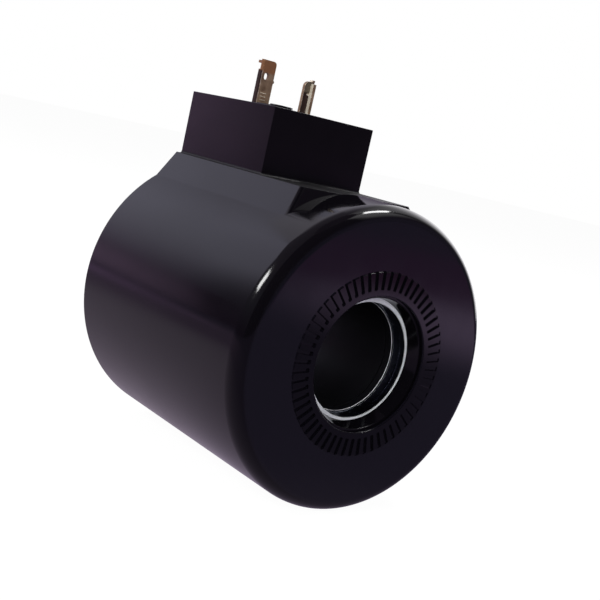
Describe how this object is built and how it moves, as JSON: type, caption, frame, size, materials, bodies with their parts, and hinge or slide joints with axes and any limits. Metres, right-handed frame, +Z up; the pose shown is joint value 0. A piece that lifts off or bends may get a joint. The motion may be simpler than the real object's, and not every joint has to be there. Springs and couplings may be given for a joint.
{
  "type": "hydraulic valve coil",
  "caption": "Encapsulated cylindrical solenoid coil with a through bore, a serrated nut seat and a plug connector block with folded tabs.",
  "frame": {"origin": "on the bore's axis, half way along the moulded body", "axes": "+Y along the bore from the nut side to the valve side, +Z up to the connector, +X to the right seen from the nut side"},
  "size_m": [0.063, 0.0643, 0.0876],
  "materials": {
    "black_moulding": "satin sides, glossy rim",
    "plated_steel": "bright zinc plated",
    "rolled_steel": "rolled and oiled",
    "bobbin_plastic": "moulded, glass filled",
    "enamelled_copper": "enamelled copper wire",
    "winding_tape": "smooth polyester tape",
    "insulating_strip": "pressed paper",
    "bare_copper": "drawn copper",
    "tinned_metal": "tinned",
    "glass_sleeving": "varnished braid",
    "terminal_brass": "stamped, dull, bright edges",
    "insert_brass": "turned"
  },
  "bodies": {
    "root": {"housing": "black_moulding", "front_pole_plate": "plated_steel", "rear_pole_plate": "plated_steel", "flux_tube": "rolled_steel", "bobbin": "bobbin_plastic", "winding": "enamelled_copper", "winding_tape": "winding_tape", "start_lead_barrier": "insulating_strip", "start_lead": "bare_copper", "finish_lead": "bare_copper", "lead_splices": "tinned_metal", "start_lead_sleeve": "glass_sleeving", "finish_lead_sleeve": "glass_sleeving", "solder_joints": "tinned_metal", "terminal_carrier": "bobbin_plastic", "rear_terminal": "terminal_brass", "front_terminal": "terminal_brass", "plug_screw_insert": "insert_brass"}
  },
  "joints": []
}
